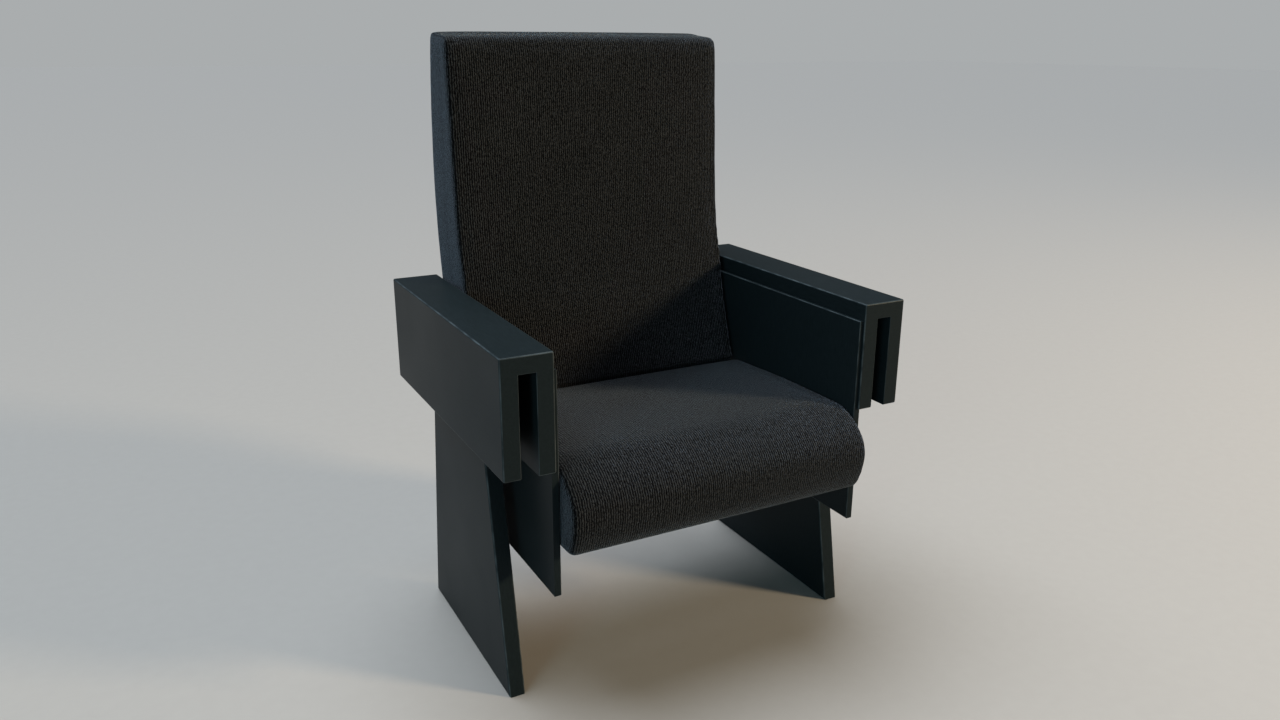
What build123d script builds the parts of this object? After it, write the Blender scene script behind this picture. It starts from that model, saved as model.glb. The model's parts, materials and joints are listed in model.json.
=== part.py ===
"""Tip up auditorium seat: slab legs, hollow box armrests, curved upholstered back, seat that tips up.

Millimetres, +Z up, the sitter faces -Y, the object is symmetric about X = 0. The origin lies on the
floor under the middle of the object. Pieces are modelled on the right (+X) and mirrored to the left.
"""
from build123d import *
from math import asin, cos, degrees, radians, sin, sqrt
import os

os.makedirs("parts", exist_ok=True)

# ---- driving dimensions: overall -------------------------------------------------------------------
overall_width = 741.0
nose_overhang = 42.5        # seat front ahead of the armrest fronts
back_overhang = 36.0        # back's rearmost line behind the armrest ends

# ---- armrests: three mitred boards around a slot ---------------------------------------------------
board = 28.0
slot_width = 28.0
arm_length = 553.0
arm_height = 190.0
arm_top_z = 622.5
arm_round = 3.0             # eased outer edges
slot_round = 1.2            # eased slot edges
mitre_key_width = 16.0
mitre_key_thickness = 3.0
mitre_key_inset = 60.0
mitre_key_length = 40.0

# ---- legs ------------------------------------------------------------------------------------------
leg_front_setback = 88.0    # at the floor, behind the armrest fronts
leg_foot_length = 397.0
leg_front_rake = 10.5       # degrees from upright
leg_rear_rake = 7.5
leg_round = 3.5
insert_radius = 8.0
insert_bore_radius = 4.25
insert_length = 25.0
insert_spacing = 300.0

# ---- side panels -----------------------------------------------------------------------------------
panel_thickness = 12.0
panel_housing = 6.0         # depth let into the armrest's inner board
panel_setback = 5.0
panel_rear_setback = 23.0   # ahead of the armrest ends
panel_top_drop = 30.0       # below the armrest top
panel_bottom_z = 222.5
panel_round = 2.0
dowel_radius = 4.0
dowel_length = 16.0
dowel_margin = 25.0         # from the panel's top and the armrest's lower edge
dowel_front = 32.0          # behind the panel's front edge
dowel_rear = 52.0           # ahead of its rear edge

# ---- pivot, stops and springs ----------------------------------------------------------------------
pivot_setback = 300.0       # behind the armrest fronts
pivot_z = 368.0
tip_angle = 78.0
pin_radius = 8.0
pin_clearance = 0.05
pin_collar_radius = 12.0
pin_collar = 2.0
pin_spigot_radius = 6.0
pin_chamfer = 1.0
pin_slot_width = 4.4
pin_slot_depth = 7.0
pin_slot_margin = 0.1       # between the slot's floor and the hub's end
pivot_plate_thickness = 3.0
pivot_plate_length = 90.0
pivot_plate_height = 100.0
pivot_plate_drop = 5.0      # plate's middle below the pivot
pivot_plate_corner = 12.0
plate_screw_margin = 11.0
stop_radius = 28.0          # from the pivot to the stop peg
peg_radius = 4.5
peg_chamfer = 0.8
sleeve_radius = 7.0
stop_clearance = 0.3
hinge_plate_thickness = 5.0
hinge_disc_radius = 42.0
hinge_arm_reach = 150.0     # foremost bolt ahead of the pivot
hinge_arm_rear = 28.0       # rearmost bolt behind the pivot
hinge_arm_radius = 10.0
hinge_bolt_end = 4.0        # beyond the frame tube's wall
hub_radius = 15.0
hub_length = 25.0
bush_wall = 2.5
bush_flange_radius = 13.0
bush_flange = 1.5
spring_wire = 3.5
spring_quarters = 21        # quarter turns of the coil
spring_gap = 0.6            # free space between turns
spring_clearance = 1.0      # around the hub
spring_end_gap = 1.0        # beyond the hub's end
spring_hole_clearance = 0.3
spring_hole_margin = 1.0    # of the wire's end from the hinge plate's outer face
spring_bend = 5.0           # radius where the coil turns in to the pin
spring_tail = 5.0           # beyond the pin's middle

# ---- seat ------------------------------------------------------------------------------------------
seat_side_gap = 2.5         # to each side panel
seat_top_z = 438.2
seat_bottom_z = 307.0
seat_crown = 3.0
seat_rear_setback = 372.0   # seat's rear face behind the armrest fronts
seat_rear_z = 427.0
shoulder_radius = 105.0
shoulder_angle = 52.0
nose_radius = 52.0
chin_radius = 100.0
chin_angle = 28.0
seat_bottom_round = 12.0
seat_rear_round = 14.0
seat_side_round = 9.0
frame_tube = 20.0
frame_wall = 2.0
frame_front_reach = 250.0   # frame ahead of the pivot
frame_rear_reach = 42.0     # frame behind the pivot
hinge_plate_inset = 11.0    # hinge plate under the seat's side skin
platform_thickness = 10.0
platform_side_gap = 0.5     # inside the hinge plates
platform_corner = 10.0
vent_radius = 12.0
vent_side_margin = 72.0     # outer vents inside the frame tubes
vent_end_margin = 48.0      # first and last vents from the frame's ends
cover_thickness = 8.0
cover_corner = 8.0
cover_round = 1.5
cover_screw_margin = 40.0
cover_margin = 9.0          # foam wrap around the cover, front and rear, beyond the frame
soft_gap = 0.3
pocket_margin = 2.5         # free space around the turning pieces inside the foam

# ---- back ------------------------------------------------------------------------------------------
back_side_gap = 6.5         # to each side panel
back_top_z = 1060.0
back_bottom_z = 402.0
back_bulge_z = 794.0        # height of the rearmost line
back_upper_radius = 1420.0  # rear face above that line
back_lower_radius = 950.0   # rear face below it
back_top_front_y = 470.0    # front of the top edge, behind the armrest fronts
back_top_front_z = 1052.0
back_bend_y = 456.5         # where the straight upper front meets the lumbar curve
back_bend_z = 800.0
back_foot_y = 367.5         # front of the lower edge
back_crown = 4.0
back_top_round = 20.0
back_foot_round = 22.0
back_side_round = 12.0
back_rear_round = 4.0
rear_panel_thickness = 8.0
rear_panel_margin = 14.0
core_thickness = 12.0
core_margin = 18.0
bracket_thickness = 4.0
bracket_low_z = 440.0
bracket_high_z = 570.0
bracket_reach = 51.0        # of its front edge ahead of the core, at its lower end
bracket_overlap = 54.0      # of the tongue over the core
bracket_screw_margin = 18.0
bracket_middle_screw = 45.0 # behind the bracket's front edge
tongue_screw_margin = 25.0
tongue_screw_pitch = 28.0
bracket_corner = 8.0
tongue_screw_depth = 9.0
clip_radius = 4.0
clip_depth = 7.0
clip_head_radius = 7.0
clip_head = 3.0
clip_margin = 35.0          # from the rear panel's edges
clip_pitch = 180.0

# ---- tie rail --------------------------------------------------------------------------------------
rail_y = 445.0
rail_z = 292.0
rail_depth = 25.0
rail_height = 40.0
rail_wall = 2.0
rail_plate_thickness = 5.0
rail_plate_length = 60.0
rail_plate_height = 96.0
rail_plate_corner = 6.0
rail_screw_margin = 12.0

# ---- screws ----------------------------------------------------------------------------------------
screw_radius = 3.0
screw_head_radius = 6.0
screw_head = 3.0
screw_depth = 9.0           # of every screw in the side panels
leg_screw_radius = 3.5
leg_screw_head_radius = 6.0
leg_screw_head = 4.0
leg_screw_length = 46.0
leg_screw_drop = 22.0       # topmost row below the slot's ceiling
leg_screw_pitch = 50.0
leg_screw_spread = 140.0

# ---- places worked out from the sizes above --------------------------------------------------------
overall_depth = nose_overhang + arm_length + back_overhang
arm_front = nose_overhang - overall_depth / 2
arm_rear = arm_front + arm_length
nose_y = arm_front - nose_overhang
back_apex_y = arm_rear + back_overhang

arm_outer_x = overall_width / 2
arm_width = 2 * board + slot_width
arm_inner_x = arm_outer_x - arm_width
arm_bottom_z = arm_top_z - arm_height
slot_inner_x = arm_inner_x + board
slot_outer_x = slot_inner_x + slot_width
slot_ceiling_z = arm_top_z - board

panel_inner_x = arm_inner_x + panel_housing - panel_thickness
panel_outer_x = panel_inner_x + panel_thickness
panel_front = arm_front + panel_setback
panel_rear = arm_rear - panel_rear_setback
panel_length = panel_rear - panel_front
panel_top_z = arm_top_z - panel_top_drop

pivot_y = arm_front + pivot_setback
half_seat = panel_inner_x - seat_side_gap
half_back = panel_inner_x - back_side_gap
seat_width = 2 * half_seat
back_width = 2 * half_back
hinge_outer_x = half_seat - hinge_plate_inset
hinge_inner_x = hinge_outer_x - hinge_plate_thickness
frame_outer_x = hinge_inner_x
frame_inner_x = frame_outer_x - frame_tube
frame_bottom_z = seat_bottom_z + cover_thickness
frame_top_z = frame_bottom_z + frame_tube
platform_top_z = frame_top_z + platform_thickness
frame_front = pivot_y - frame_front_reach
frame_rear = pivot_y + frame_rear_reach
bush_inner_radius = pin_radius + pin_clearance
bush_outer_radius = bush_inner_radius + bush_wall
hub_inner_x = hinge_inner_x - hub_length
pin_inner_x = hub_inner_x - pin_slot_depth - pin_slot_margin
plate_back_x = panel_inner_x + pivot_plate_thickness
stop_angle = 90.0 - tip_angle / 2
peg_y = pivot_y + stop_radius * cos(radians(stop_angle))
peg_z = pivot_z + stop_radius * sin(radians(stop_angle))

shell_inset = rear_panel_thickness + core_thickness
bracket_drop = back_bulge_z - bracket_low_z
core_low_y = back_apex_y - back_lower_radius + sqrt((back_lower_radius - shell_inset) ** 2 - bracket_drop**2)
bracket_front = core_low_y - bracket_reach


STANDING = (Align.CENTER, Align.CENTER, Align.MIN)
HANGING = (Align.CENTER, Align.CENTER, Align.MAX)


def side_plane(x):
    """The Y-Z plane at X = x; its own axes are Y and Z, its normal is +X."""
    return Plane.YZ.offset(x)


def export_piece(piece, name):
    piece.label = name
    export_step(piece, f"parts/{name}.step")


def export_pair(piece, name):
    """Write a right-hand piece and its mirror image."""
    export_piece(piece, f"right_{name}")
    export_piece(mirror(piece, about=Plane.YZ), f"left_{name}")


# ================================ legs ===============================================================
insert_x = (slot_inner_x + slot_outer_x) / 2
foot_middle_y = arm_front + leg_front_setback + leg_foot_length / 2
insert_ys = (foot_middle_y - insert_spacing / 2, foot_middle_y + insert_spacing / 2)
leg_screw_spots = [
    (foot_middle_y + across, slot_ceiling_z - leg_screw_drop - leg_screw_pitch * row)
    for row in (0, 1, 2)
    for across in (-leg_screw_spread / 2, leg_screw_spread / 2)
]


def leg_edge_y(rake, foot_y, z):
    """Where a raked leg edge stands at height z."""
    return foot_y + z * sin(radians(rake)) / cos(radians(rake))


leg_front = arm_front + leg_front_setback
leg_rear = leg_front + leg_foot_length
leg_front_top = leg_edge_y(leg_front_rake, leg_front, slot_ceiling_z)
leg_rear_top = leg_edge_y(-leg_rear_rake, leg_rear, slot_ceiling_z)

with BuildPart() as leg:
    with BuildSketch(side_plane(slot_inner_x)):
        with BuildLine():
            Polyline(
                (leg_front, 0),
                (leg_rear, 0),
                (leg_rear_top, slot_ceiling_z),
                (leg_front_top, slot_ceiling_z),
                close=True,
            )
        make_face()
    extrude(amount=slot_width)
    broad_faces = leg.faces().filter_by(Axis.X)
    outline = broad_faces.edges().filter_by(lambda e: e.center().Z < slot_ceiling_z - 1)
    fillet(outline, leg_round)
    with BuildSketch(side_plane(slot_inner_x)):
        with Locations(*leg_screw_spots):
            Circle(leg_screw_radius)
    extrude(amount=leg_screw_length + panel_outer_x - slot_inner_x, mode=Mode.SUBTRACT)
    with BuildSketch(Plane.XY):
        with Locations(*[(insert_x, y) for y in insert_ys]):
            Circle(insert_radius)
    extrude(amount=insert_length, mode=Mode.SUBTRACT)
export_pair(leg.part, "leg")

with BuildPart() as floor_inserts:
    with BuildSketch(Plane.XY):
        with Locations(*[(insert_x, y) for y in insert_ys]):
            Circle(insert_radius)
            Circle(insert_bore_radius, mode=Mode.SUBTRACT)
    extrude(amount=insert_length)
    mirror(about=Plane.YZ)
export_piece(floor_inserts.part, "floor_inserts")

with BuildPart() as leg_screws:
    with BuildSketch(side_plane(panel_outer_x)):
        with Locations(*leg_screw_spots):
            Circle(leg_screw_head_radius)
    extrude(amount=leg_screw_head)
    with BuildSketch(side_plane(panel_outer_x)):
        with Locations(*leg_screw_spots):
            Circle(leg_screw_radius)
    extrude(amount=leg_screw_length)
    with BuildSketch(side_plane(panel_outer_x)):
        with Locations(*leg_screw_spots):
            RegularPolygon(radius=leg_screw_radius, side_count=6)
    extrude(amount=leg_screw_head / 2, mode=Mode.SUBTRACT)
    mirror(about=Plane.YZ)
export_piece(leg_screws.part, "leg_screws")

# ================================ armrests ===========================================================
key_ys = [
    arm_front + mitre_key_inset + (arm_length - 2 * mitre_key_inset) * share
    for share in (0, 0.5, 1)
]
outer_key_mid = (arm_outer_x - board / 2, arm_top_z - board / 2)
inner_key_mid = (arm_inner_x + board / 2, arm_top_z - board / 2)


def cut_keys():
    """Slots for the loose tongues, square to each mitre."""
    for (x, z), tilt in ((outer_key_mid, -45), (inner_key_mid, 45)):
        for y in key_ys:
            with Locations(Location((x, y, z), (0, tilt, 0))):
                Box(mitre_key_thickness, mitre_key_length, mitre_key_width, mode=Mode.SUBTRACT)


with BuildPart() as arm_channel:
    with BuildSketch(Plane.XZ.offset(-arm_front)):
        with BuildLine():
            Polyline(
                (arm_inner_x, arm_bottom_z),
                (arm_inner_x, arm_top_z),
                (arm_outer_x, arm_top_z),
                (arm_outer_x, arm_bottom_z),
                (slot_outer_x, arm_bottom_z),
                (slot_outer_x, slot_ceiling_z),
                (slot_inner_x, slot_ceiling_z),
                (slot_inner_x, arm_bottom_z),
                close=True,
            )
        make_face()
    extrude(amount=-arm_length)
    slot_edges = arm_channel.edges().filter_by(
        lambda e: slot_inner_x - 0.1 < e.center().X < slot_outer_x + 0.1
        and e.center().Z < slot_ceiling_z + 0.1
    )
    outer_edges = arm_channel.edges() - slot_edges
    fillet(outer_edges, arm_round)
    slot_mouth = arm_channel.edges().filter_by(
        lambda e: slot_inner_x - 0.1 < e.center().X < slot_outer_x + 0.1
        and e.center().Z < slot_ceiling_z + 0.1
        and not (e.center().Z > slot_ceiling_z - 0.1 and abs(e.center().Y - arm_front - arm_length / 2) < 1)
    )
    fillet(slot_mouth, slot_round)
    cut_keys()

slot_middle = Plane(((slot_inner_x + slot_outer_x) / 2, 0, 0), z_dir=(1, 0, 0))
outer_mitre = Plane((arm_outer_x, 0, arm_top_z), z_dir=(1, 0, -1))
inner_mitre = Plane((arm_inner_x, 0, arm_top_z), z_dir=(-1, 0, -1))

with BuildPart() as arm_outer_board:
    add(arm_channel.part)
    split(bisect_by=slot_middle, keep=Keep.TOP)
    split(bisect_by=outer_mitre, keep=Keep.TOP)
export_pair(arm_outer_board.part, "arm_outer_board")

with BuildPart() as arm_top_board:
    add(arm_channel.part)
    split(bisect_by=outer_mitre, keep=Keep.BOTTOM)
    split(bisect_by=inner_mitre, keep=Keep.BOTTOM)
export_pair(arm_top_board.part, "arm_top_board")

dowel_spots = [
    (y, z)
    for y in (panel_front + dowel_front, foot_middle_y, panel_rear - dowel_rear)
    for z in (arm_bottom_z + dowel_margin, panel_top_z - dowel_margin)
]

with BuildPart() as arm_inner_board:
    add(arm_channel.part)
    split(bisect_by=slot_middle, keep=Keep.BOTTOM)
    split(bisect_by=inner_mitre, keep=Keep.TOP)
    with BuildSketch(side_plane(arm_inner_x)):
        with Locations((panel_front, panel_top_z)):
            Rectangle(panel_length, arm_height, align=(Align.MIN, Align.MAX))
    extrude(amount=panel_housing, mode=Mode.SUBTRACT)
    with BuildSketch(side_plane(panel_outer_x)):
        with Locations(*leg_screw_spots):
            Circle(leg_screw_head_radius)
    extrude(amount=leg_screw_head, mode=Mode.SUBTRACT)
    with BuildSketch(side_plane(panel_outer_x)):
        with Locations(*leg_screw_spots):
            Circle(leg_screw_radius)
    extrude(amount=board, mode=Mode.SUBTRACT)
    with BuildSketch(side_plane(panel_outer_x)):
        with Locations(*dowel_spots):
            Circle(dowel_radius)
    extrude(amount=dowel_length / 2, mode=Mode.SUBTRACT)
export_pair(arm_inner_board.part, "arm_inner_board")

with BuildPart() as mitre_keys:
    for (x, z), tilt in ((outer_key_mid, -45), (inner_key_mid, 45)):
        for y in key_ys:
            with Locations(Location((x, y, z), (0, tilt, 0))):
                Box(mitre_key_thickness, mitre_key_length, mitre_key_width)
    mirror(about=Plane.YZ)
export_piece(mitre_keys.part, "mitre_keys")

with BuildPart() as panel_dowels:
    with BuildSketch(side_plane(panel_outer_x - dowel_length / 2)):
        with Locations(*dowel_spots):
            Circle(dowel_radius)
    extrude(amount=dowel_length)
    mirror(about=Plane.YZ)
export_piece(panel_dowels.part, "panel_dowels")

# ================================ side panels ========================================================
plate_middle = (pivot_y, pivot_z - pivot_plate_drop)
plate_screw_spots = [
    (plate_middle[0] + dy, plate_middle[1] + dz)
    for dy in (-pivot_plate_length / 2 + plate_screw_margin, pivot_plate_length / 2 - plate_screw_margin)
    for dz in (-pivot_plate_height / 2 + plate_screw_margin, pivot_plate_height / 2 - plate_screw_margin)
]
rail_mid_y = arm_front + rail_y
rail_screw_spots = [
    (rail_mid_y + dy, rail_z + dz)
    for dy in (-rail_plate_length / 2 + rail_screw_margin, rail_plate_length / 2 - rail_screw_margin)
    for dz in (-rail_plate_height / 2 + rail_screw_margin, rail_plate_height / 2 - rail_screw_margin)
]
bracket_side_spots = [
    (bracket_front + bracket_screw_margin, bracket_low_z + bracket_screw_margin),
    (bracket_front + bracket_screw_margin, bracket_high_z - bracket_screw_margin),
    (bracket_front + bracket_middle_screw, (bracket_low_z + bracket_high_z) / 2),
]

with BuildPart() as side_panel:
    with BuildSketch(side_plane(panel_inner_x)):
        with Locations((panel_front, panel_bottom_z)):
            Rectangle(panel_length, panel_top_z - panel_bottom_z, align=(Align.MIN, Align.MIN))
    extrude(amount=panel_thickness)
    fillet(side_panel.faces().sort_by(Axis.X)[0].edges(), panel_round)
    with BuildSketch(side_plane(panel_inner_x)):
        with Locations(plate_middle):
            RectangleRounded(pivot_plate_length, pivot_plate_height, pivot_plate_corner)
    extrude(amount=pivot_plate_thickness, mode=Mode.SUBTRACT)
    with BuildSketch(side_plane(panel_inner_x)):
        with Locations(*plate_screw_spots, *rail_screw_spots, *bracket_side_spots):
            Circle(screw_radius)
    extrude(amount=screw_depth, mode=Mode.SUBTRACT)
    with BuildSketch(side_plane(panel_outer_x)):
        with Locations(*dowel_spots):
            Circle(dowel_radius)
    extrude(amount=-dowel_length / 2, mode=Mode.SUBTRACT)
export_pair(side_panel.part, "side_panel")

# ================================ pivot plates, pins and stops =======================================
with BuildPart() as pivot_plate:
    with BuildSketch(side_plane(panel_inner_x)):
        with Locations(plate_middle):
            RectangleRounded(pivot_plate_length, pivot_plate_height, pivot_plate_corner)
        with Locations((pivot_y, pivot_z)):
            Circle(pin_spigot_radius, mode=Mode.SUBTRACT)
        with Locations((peg_y, peg_z)):
            Circle(peg_radius, mode=Mode.SUBTRACT)
    extrude(amount=pivot_plate_thickness)
    for spot in plate_screw_spots:
        with Locations(side_plane(panel_inner_x).location * Pos(*spot)):
            Cone(screw_head_radius, screw_radius, screw_head, align=STANDING, mode=Mode.SUBTRACT)
export_pair(pivot_plate.part, "pivot_plate")

with BuildPart() as pivot_plate_screws:
    for spot in plate_screw_spots:
        with Locations(side_plane(panel_inner_x).location * Pos(*spot)):
            Cone(screw_head_radius, screw_radius, screw_head, align=STANDING)
            Cylinder(screw_radius, screw_depth, align=STANDING)
            Cylinder(screw_radius / 2, screw_head / 2, align=STANDING, mode=Mode.SUBTRACT)
    mirror(about=Plane.YZ)
export_piece(pivot_plate_screws.part, "pivot_plate_screws")

with BuildPart() as pivot_pin:
    with BuildSketch(side_plane(pin_inner_x)):
        with Locations((pivot_y, pivot_z)):
            Circle(pin_radius)
    extrude(amount=panel_inner_x - pin_inner_x)
    chamfer(pivot_pin.edges().sort_by(Axis.X)[0], pin_chamfer)
    with BuildSketch(side_plane(panel_inner_x - pin_collar)):
        with Locations((pivot_y, pivot_z)):
            Circle(pin_collar_radius)
    extrude(amount=pin_collar)
    with BuildSketch(side_plane(panel_inner_x)):
        with Locations((pivot_y, pivot_z)):
            Circle(pin_spigot_radius)
    extrude(amount=pivot_plate_thickness)
    with BuildSketch(side_plane(pin_inner_x)):
        with Locations((pivot_y, pivot_z)):
            Rectangle(2 * pin_collar_radius, pin_slot_width)
    extrude(amount=pin_slot_depth, mode=Mode.SUBTRACT)
export_pair(pivot_pin.part, "pivot_pin")

with BuildPart() as stop_peg:
    with BuildSketch(side_plane(hinge_inner_x)):
        with Locations((peg_y, peg_z)):
            Circle(peg_radius)
    extrude(amount=plate_back_x - hinge_inner_x)
    chamfer(stop_peg.edges().sort_by(Axis.X)[0], peg_chamfer)
export_pair(stop_peg.part, "stop_peg")

with BuildPart() as stop_sleeve:
    with BuildSketch(side_plane(hinge_inner_x)):
        with Locations((peg_y, peg_z)):
            Circle(sleeve_radius)
            Circle(peg_radius, mode=Mode.SUBTRACT)
    extrude(amount=panel_inner_x - hinge_inner_x)
export_pair(stop_sleeve.part, "stop_sleeve")

# ================================ seat: hinge plates and springs ====================================
frame_mid_z = (frame_bottom_z + frame_top_z) / 2
hinge_bolt_spots = [
    (pivot_y - hinge_arm_reach, frame_mid_z),
    (pivot_y - hinge_arm_reach / 2, frame_mid_z),
    (pivot_y + hinge_arm_rear, frame_mid_z),
]

# the spring's centre line starts in the pin's slot and ends in a hole in the hinge plate
spring_radius = hub_radius + spring_clearance + spring_wire / 2
spring_pitch = spring_wire + spring_gap
coil_start_x = hub_inner_x - spring_end_gap - spring_wire / 2
coil_start_angle = degrees(asin(spring_bend / (spring_radius - spring_bend)))
coil_end_x = coil_start_x + spring_pitch * spring_quarters / 4
leg_bend = hinge_inner_x - coil_end_x


def coil_point(quarter):
    """A point on the coil's centre line, counted in quarter turns from its inner end."""
    angle = radians(coil_start_angle + 90 * quarter)
    return Vector(
        coil_start_x + spring_pitch * quarter / 4,
        pivot_y + spring_radius * cos(angle),
        pivot_z + spring_radius * sin(angle),
    )


def coil_direction(quarter):
    """The coil's direction there."""
    angle = radians(coil_start_angle + 90 * quarter)
    around = radians(360) * spring_radius
    return Vector(spring_pitch, -around * sin(angle), around * cos(angle)).normalized()


def arcs_meet(start, start_direction, end, end_direction):
    """Where two arcs meet so that the line runs smoothly from start to end."""
    chord = end - start
    a = 2 * (1 - start_direction.dot(end_direction))
    b = 2 * chord.dot(start_direction + end_direction)
    reach = (-b + sqrt(b * b + 4 * a * chord.dot(chord))) / (2 * a)
    return (start + end + (start_direction - end_direction) * reach) * 0.5


leg_turn = coil_direction(spring_quarters)
leg_hole = coil_point(spring_quarters) + Vector(0, leg_turn.Y, leg_turn.Z) * leg_bend
stop_track = CenterArc((pivot_y, pivot_z), stop_radius, stop_angle, tip_angle)


def hinge_outline(plane, margin=0.0):
    """The hinge plate's outline, widened by margin."""
    with BuildSketch(plane) as outline:
        with Locations((pivot_y, pivot_z)):
            Circle(hinge_disc_radius + margin)
        with Locations(hinge_bolt_spots[0], hinge_bolt_spots[-1]):
            Circle(hinge_arm_radius + margin)
        make_hull()
    return outline.sketch


with BuildPart() as hinge_plate:
    extrude(hinge_outline(side_plane(hinge_inner_x)), amount=hinge_plate_thickness)
    with BuildSketch(side_plane(hinge_inner_x)):
        with Locations((pivot_y, pivot_z)):
            Circle(bush_outer_radius)
        with Locations(*hinge_bolt_spots):
            Circle(screw_radius)
        with Locations((leg_hole.Y, leg_hole.Z)):
            Circle(spring_wire / 2 + spring_hole_clearance)
        SlotArc(stop_track, 2 * (sleeve_radius + stop_clearance))
    extrude(amount=hinge_plate_thickness, mode=Mode.SUBTRACT)
    with BuildSketch(side_plane(hub_inner_x)):
        with Locations((pivot_y, pivot_z)):
            Circle(hub_radius)
            Circle(bush_outer_radius, mode=Mode.SUBTRACT)
    extrude(amount=hub_length)
export_pair(hinge_plate.part, "hinge_plate")

with BuildPart() as hinge_bush:
    with BuildSketch(side_plane(hub_inner_x)):
        with Locations((pivot_y, pivot_z)):
            Circle(bush_outer_radius)
    extrude(amount=hinge_outer_x - hub_inner_x)
    with BuildSketch(side_plane(hinge_outer_x)):
        with Locations((pivot_y, pivot_z)):
            Circle(bush_flange_radius)
    extrude(amount=bush_flange)
    with BuildSketch(side_plane(hub_inner_x)):
        with Locations((pivot_y, pivot_z)):
            Circle(bush_inner_radius)
    extrude(amount=hinge_outer_x + bush_flange - hub_inner_x, mode=Mode.SUBTRACT)
export_pair(hinge_bush.part, "hinge_bush")


pin_end = Vector(coil_start_x, pivot_y - spring_tail, pivot_z)
tail_reach = (spring_radius - spring_bend) * cos(radians(coil_start_angle))
tail_end = Vector(coil_start_x, pivot_y + tail_reach, pivot_z)
leg_mouth = Vector(hinge_inner_x, leg_hole.Y, leg_hole.Z)
wire_end = leg_mouth + Vector(hinge_plate_thickness - spring_hole_margin, 0, 0)
stations = [(pin_end, Vector(0, 1, 0)), (tail_end, Vector(0, 1, 0))]
stations += [(coil_point(quarter), coil_direction(quarter)) for quarter in range(spring_quarters + 1)]
stations += [(leg_mouth, Vector(1, 0, 0)), (wire_end, Vector(1, 0, 0))]

with BuildPart() as torsion_spring:
    with BuildLine() as wire_path:
        for (start, heading), (end, leaving) in zip(stations, stations[1:]):
            if heading.cross(leaving).length < 1e-6:
                Line(start, end)
            else:
                middle = arcs_meet(start, heading, end, leaving)
                half = TangentArc(start, middle, tangent=heading)
                TangentArc(middle, end, tangent=half % 1)
    with BuildSketch(Plane(pin_end, z_dir=(0, 1, 0))):
        Circle(spring_wire / 2)
    sweep()
export_pair(torsion_spring.part, "torsion_spring")

with BuildPart() as hinge_plate_bolts:
    for spot in hinge_bolt_spots:
        with Locations(side_plane(hinge_outer_x).location * Pos(*spot)):
            Cylinder(screw_head_radius, screw_head, align=STANDING)
            Cylinder(
                screw_radius,
                hinge_plate_thickness + frame_wall + hinge_bolt_end,
                align=HANGING,
            )
            Cylinder(screw_radius / 2, screw_head, align=STANDING, mode=Mode.SUBTRACT)
    mirror(about=Plane.YZ)
export_piece(hinge_plate_bolts.part, "hinge_plate_bolts")

# ================================ seat: frame, platform and cover =====================================
frame_length = frame_rear - frame_front
frame_mid_y = (frame_front + frame_rear) / 2
cover_half_width = frame_outer_x
cover_front = frame_front - cover_margin
cover_rear = frame_rear + cover_margin
cover_screw_spots = [
    (x, y)
    for x in (-(frame_inner_x + frame_outer_x) / 2, (frame_inner_x + frame_outer_x) / 2)
    for y in (frame_front + cover_screw_margin, frame_mid_y, frame_rear - cover_screw_margin)
]

with BuildPart() as seat_frame:
    with BuildSketch(Plane.XY.offset(frame_bottom_z)):
        with Locations((0, frame_mid_y)):
            Rectangle(2 * frame_outer_x, frame_length)
            Rectangle(2 * frame_inner_x, frame_length - 2 * frame_tube, mode=Mode.SUBTRACT)
    extrude(amount=frame_tube)
    with BuildSketch(Plane.XY.offset(frame_bottom_z + frame_wall)):
        with Locations((0, frame_mid_y)):
            Rectangle(2 * (frame_outer_x - frame_wall), frame_length - 2 * frame_wall)
            Rectangle(
                2 * (frame_inner_x + frame_wall),
                frame_length - 2 * (frame_tube - frame_wall),
                mode=Mode.SUBTRACT,
            )
    extrude(amount=frame_tube - 2 * frame_wall, mode=Mode.SUBTRACT)
    for side in (-1, 1):
        with BuildSketch(side_plane(side * frame_outer_x)):
            with Locations(*hinge_bolt_spots):
                Circle(screw_radius)
        extrude(amount=-side * frame_wall, mode=Mode.SUBTRACT)
    with BuildSketch(Plane.XY.offset(frame_bottom_z)):
        with Locations(*cover_screw_spots):
            Circle(screw_radius)
    extrude(amount=frame_wall, mode=Mode.SUBTRACT)
export_piece(seat_frame.part, "seat_frame")

with BuildPart() as seat_platform:
    with BuildSketch(Plane.XY.offset(frame_top_z)):
        with Locations((0, frame_mid_y)):
            RectangleRounded(2 * (frame_outer_x - platform_side_gap), frame_length, platform_corner)
    extrude(amount=platform_thickness)
    with BuildSketch(Plane.XY.offset(frame_top_z)):
        with Locations((0, frame_mid_y)):
            with GridLocations(frame_inner_x - vent_side_margin, frame_length / 2 - vent_end_margin, 3, 3):
                Circle(vent_radius)
    extrude(amount=platform_thickness, mode=Mode.SUBTRACT)
export_piece(seat_platform.part, "seat_platform")

with BuildPart() as seat_under_cover:
    with BuildSketch(Plane.XY.offset(seat_bottom_z)):
        with Locations((0, (cover_front + cover_rear) / 2)):
            RectangleRounded(2 * cover_half_width, cover_rear - cover_front, cover_corner)
    extrude(amount=cover_thickness)
    fillet(seat_under_cover.faces().sort_by(Axis.Z)[0].edges(), cover_round)
    for x, y in cover_screw_spots:
        with Locations((x, y, seat_bottom_z)):
            Cone(screw_head_radius, screw_radius, screw_head, align=STANDING, mode=Mode.SUBTRACT)
            Cylinder(screw_radius, cover_thickness, align=STANDING, mode=Mode.SUBTRACT)
export_piece(seat_under_cover.part, "seat_under_cover")

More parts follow.
